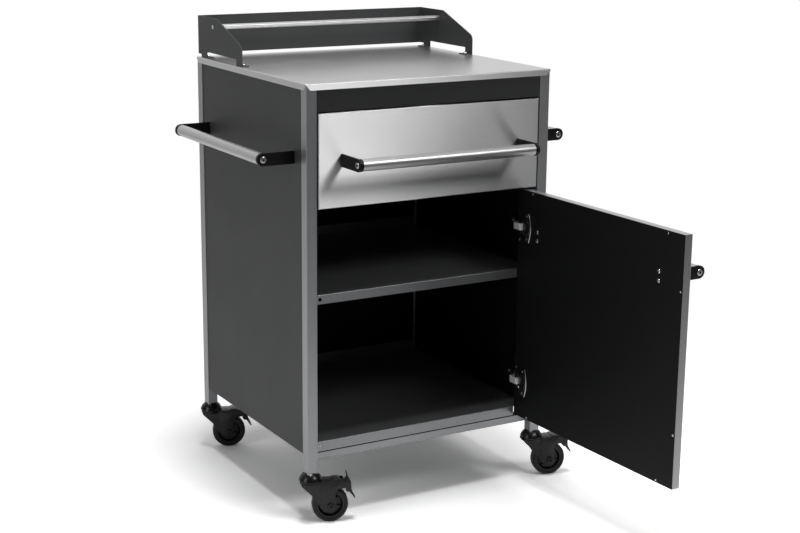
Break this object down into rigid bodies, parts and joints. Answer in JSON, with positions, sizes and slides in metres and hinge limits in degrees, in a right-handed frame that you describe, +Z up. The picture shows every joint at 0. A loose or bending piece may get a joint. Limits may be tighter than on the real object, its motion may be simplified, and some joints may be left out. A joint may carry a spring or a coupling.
{
  "type": "grill cart with storage",
  "caption": "Square steel serving cart on braked swivel casters, with a worktop and low upstand, a drawer, a cupboard with a hinged door and shelves, and bar handles.",
  "frame": {"origin": "centre of the worktop's upper face", "axes": "+Z up out of the worktop, -Y towards the user at the drawer and door, +X to the user's right"},
  "size_m": [0.7805, 1.1129, 1.0615],
  "materials": {
    "satin_steel": "satin brushed",
    "drawer_steel": "brushed along the front",
    "silver_paint": "silver powder coat",
    "charcoal_paint": "fine-textured charcoal powder coat",
    "black_paint": "fine-textured black powder coat",
    "liner_paint": "satin dark liner",
    "satin_aluminium": "satin, drawn along its length",
    "bright_screw": "bright zinc",
    "nickel": "nickel plated",
    "runner_zinc": "bright zinc",
    "black_plastic": "moulded, fine grain",
    "handle_plastic": "moulded, fine grain",
    "wheel_rubber": "smooth moulded"
  },
  "bodies": {
    "cart": {"bottom_shelf": "silver_paint", "cabinet_screws": "bright_screw", "caster_sockets": "black_plastic", "fascia": "charcoal_paint", "front_bottom_rail": "silver_paint", "hinge_arms": "nickel", "hinge_plates": "nickel", "left_handle_tube": "satin_aluminium", "left_side_liner": "liner_paint", "left_side_panel": "charcoal_paint", "middle_shelf": "silver_paint", "post_front_left": "silver_paint", "post_front_right": "silver_paint", "post_rear_left": "silver_paint", "post_rear_right": "silver_paint", "rear_bottom_rail": "silver_paint", "rear_liner": "liner_paint", "rear_panel": "charcoal_paint", "right_handle_tube": "satin_aluminium", "right_side_liner": "liner_paint", "right_side_panel": "charcoal_paint", "runner_channels": "runner_zinc", "shelf_brackets": "silver_paint", "side_handle_arms": "handle_plastic", "side_handle_screws": "bright_screw", "upstand": "black_paint", "upstand_bolts": "bright_screw", "upstand_rod": "satin_aluminium", "worktop": "satin_steel"},
    "drawer": {"drawer_front": "drawer_steel", "drawer_inner_front": "silver_paint", "drawer_bottom": "silver_paint", "drawer_left_side": "silver_paint", "drawer_right_side": "silver_paint", "drawer_back": "silver_paint", "drawer_handle_tube": "satin_aluminium", "drawer_handle_arms": "handle_plastic", "drawer_handle_screws": "bright_screw", "runner_drawer_rails": "runner_zinc"},
    "runner_middle": {"runner_middle_members": "runner_zinc"},
    "door": {"door_skin": "satin_steel", "door_liner": "liner_paint", "door_screws": "bright_screw", "door_handle_backing": "black_plastic", "hinge_cups": "nickel", "door_handle_tube": "satin_aluminium", "door_handle_arms": "handle_plastic", "door_handle_screws": "bright_screw"},
    "front_left_swivel": {"front_left_fork": "black_plastic"},
    "front_left_wheel": {"front_left_wheel": "wheel_rubber"},
    "front_left_brake": {"front_left_brake": "black_plastic"},
    "front_right_swivel": {"front_right_fork": "black_plastic"},
    "front_right_wheel": {"front_right_wheel": "wheel_rubber"},
    "front_right_brake": {"front_right_brake": "black_plastic"},
    "rear_left_swivel": {"rear_left_fork": "black_plastic"},
    "rear_left_wheel": {"rear_left_wheel": "wheel_rubber"},
    "rear_left_brake": {"rear_left_brake": "black_plastic"},
    "rear_right_swivel": {"rear_right_fork": "black_plastic"},
    "rear_right_wheel": {"rear_right_wheel": "wheel_rubber"},
    "rear_right_brake": {"rear_right_brake": "black_plastic"}
  },
  "joints": [
    {"name": "drawer_slide", "type": "slide", "parent": "cart", "child": "drawer", "axis": [0, -1, 0], "range_m": [0, 0.43]},
    {"name": "runner_slide", "type": "slide", "parent": "cart", "child": "runner_middle", "axis": [0, -1, 0], "range_m": [0, 0.215]},
    {"name": "door_hinge", "type": "hinge", "parent": "cart", "child": "door", "pos_m": [0.2615, -0.2772, -0.54], "axis": [0, 0, 1], "range_deg": [-92, 8]},
    {"name": "front_left_swivel", "type": "hinge", "parent": "cart", "child": "front_left_swivel", "pos_m": [-0.2925, -0.271, -0.874], "axis": [0, 0, 1], "continuous": true},
    {"name": "front_left_spin", "type": "hinge", "parent": "front_left_swivel", "child": "front_left_wheel", "pos_m": [-0.25251, -0.2854, -0.926], "axis": [0.3387, 0.9409, 0], "continuous": true},
    {"name": "front_left_brake_lever", "type": "hinge", "parent": "front_left_swivel", "child": "front_left_brake", "pos_m": [-0.22852, -0.29403, -0.88], "axis": [0.3387, 0.9409, 0], "range_deg": [0, 12]},
    {"name": "front_right_swivel", "type": "hinge", "parent": "cart", "child": "front_right_swivel", "pos_m": [0.2925, -0.271, -0.874], "axis": [0, 0, 1], "continuous": true},
    {"name": "front_right_spin", "type": "hinge", "parent": "front_right_swivel", "child": "front_right_wheel", "pos_m": [0.33361, -0.28178, -0.926], "axis": [0.2538, 0.9673, 0], "continuous": true},
    {"name": "front_right_brake_lever", "type": "hinge", "parent": "front_right_swivel", "child": "front_right_brake", "pos_m": [0.35827, -0.28826, -0.88], "axis": [0.2538, 0.9673, 0], "range_deg": [0, 12]},
    {"name": "rear_left_swivel", "type": "hinge", "parent": "cart", "child": "rear_left_swivel", "pos_m": [-0.2925, 0.271, -0.874], "axis": [0, 0, 1], "continuous": true},
    {"name": "rear_left_spin", "type": "hinge", "parent": "rear_left_swivel", "child": "rear_left_wheel", "pos_m": [-0.2528, 0.25584, -0.926], "axis": [0.3567, 0.9342, 0], "continuous": true},
    {"name": "rear_left_brake_lever", "type": "hinge", "parent": "rear_left_swivel", "child": "rear_left_brake", "pos_m": [-0.22897, 0.24674, -0.88], "axis": [0.3567, 0.9342, 0], "range_deg": [0, 12]},
    {"name": "rear_right_swivel", "type": "hinge", "parent": "cart", "child": "rear_right_swivel", "pos_m": [0.2925, 0.271, -0.874], "axis": [0, 0, 1], "continuous": true},
    {"name": "rear_right_spin", "type": "hinge", "parent": "rear_right_swivel", "child": "rear_right_wheel", "pos_m": [0.33292, 0.25787, -0.926], "axis": [0.309, 0.9511, 0], "continuous": true},
    {"name": "rear_right_brake_lever", "type": "hinge", "parent": "rear_right_swivel", "child": "rear_right_brake", "pos_m": [0.35717, 0.24999, -0.88], "axis": [0.309, 0.9511, 0], "range_deg": [0, 12]}
  ],
  "couplings": [
    {"joint": "runner_slide", "follows": "drawer_slide", "ratio": 0.5}
  ]
}
